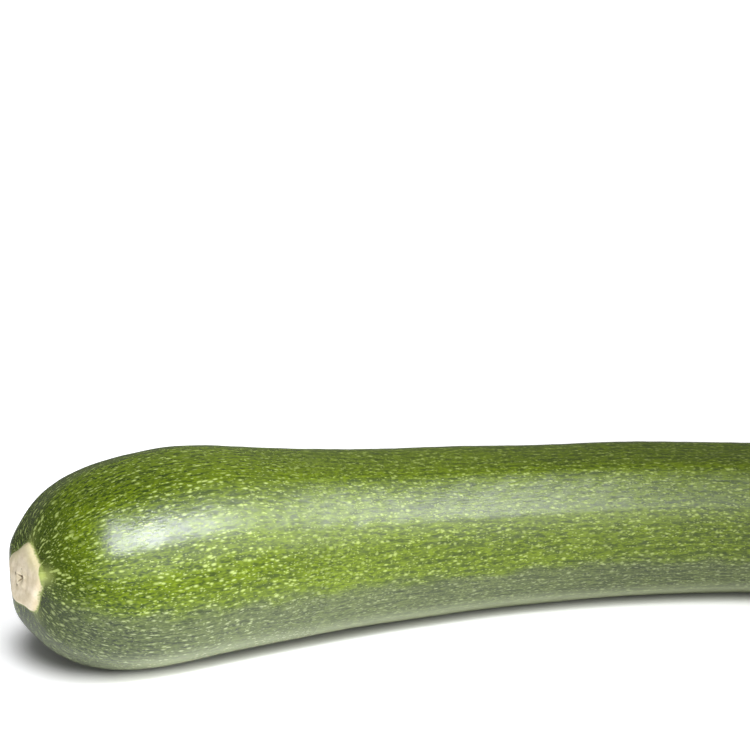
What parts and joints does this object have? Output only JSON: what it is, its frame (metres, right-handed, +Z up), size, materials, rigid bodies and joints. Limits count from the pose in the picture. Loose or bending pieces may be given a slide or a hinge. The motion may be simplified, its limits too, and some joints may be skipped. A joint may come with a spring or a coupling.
{
  "type": "zucchini",
  "caption": "Whole picked zucchini lying on its side: a bent, softly ribbed fruit with a fat blossom end, a corky scar and a ridged, cut stem stub.",
  "frame": {"origin": "on the surface that the fruit rests on, under the middle of its footprint box", "axes": "+X from the blossom end towards the stem, along the line between the two ends of the bent axis; +Z up; the two ends bend towards -Y"},
  "size_m": [0.2418, 0.0624, 0.0499],
  "materials": {
    "skin": "waxy green skin with small pale flecks, softly glossy; tan, matt and corky at the blossom scar",
    "stem_rind": "pale green fibrous rind with lengthwise ridges and a dry, paler cut end"
  },
  "bodies": {
    "root": {"fruit": "skin", "stem": "stem_rind"}
  },
  "joints": []
}
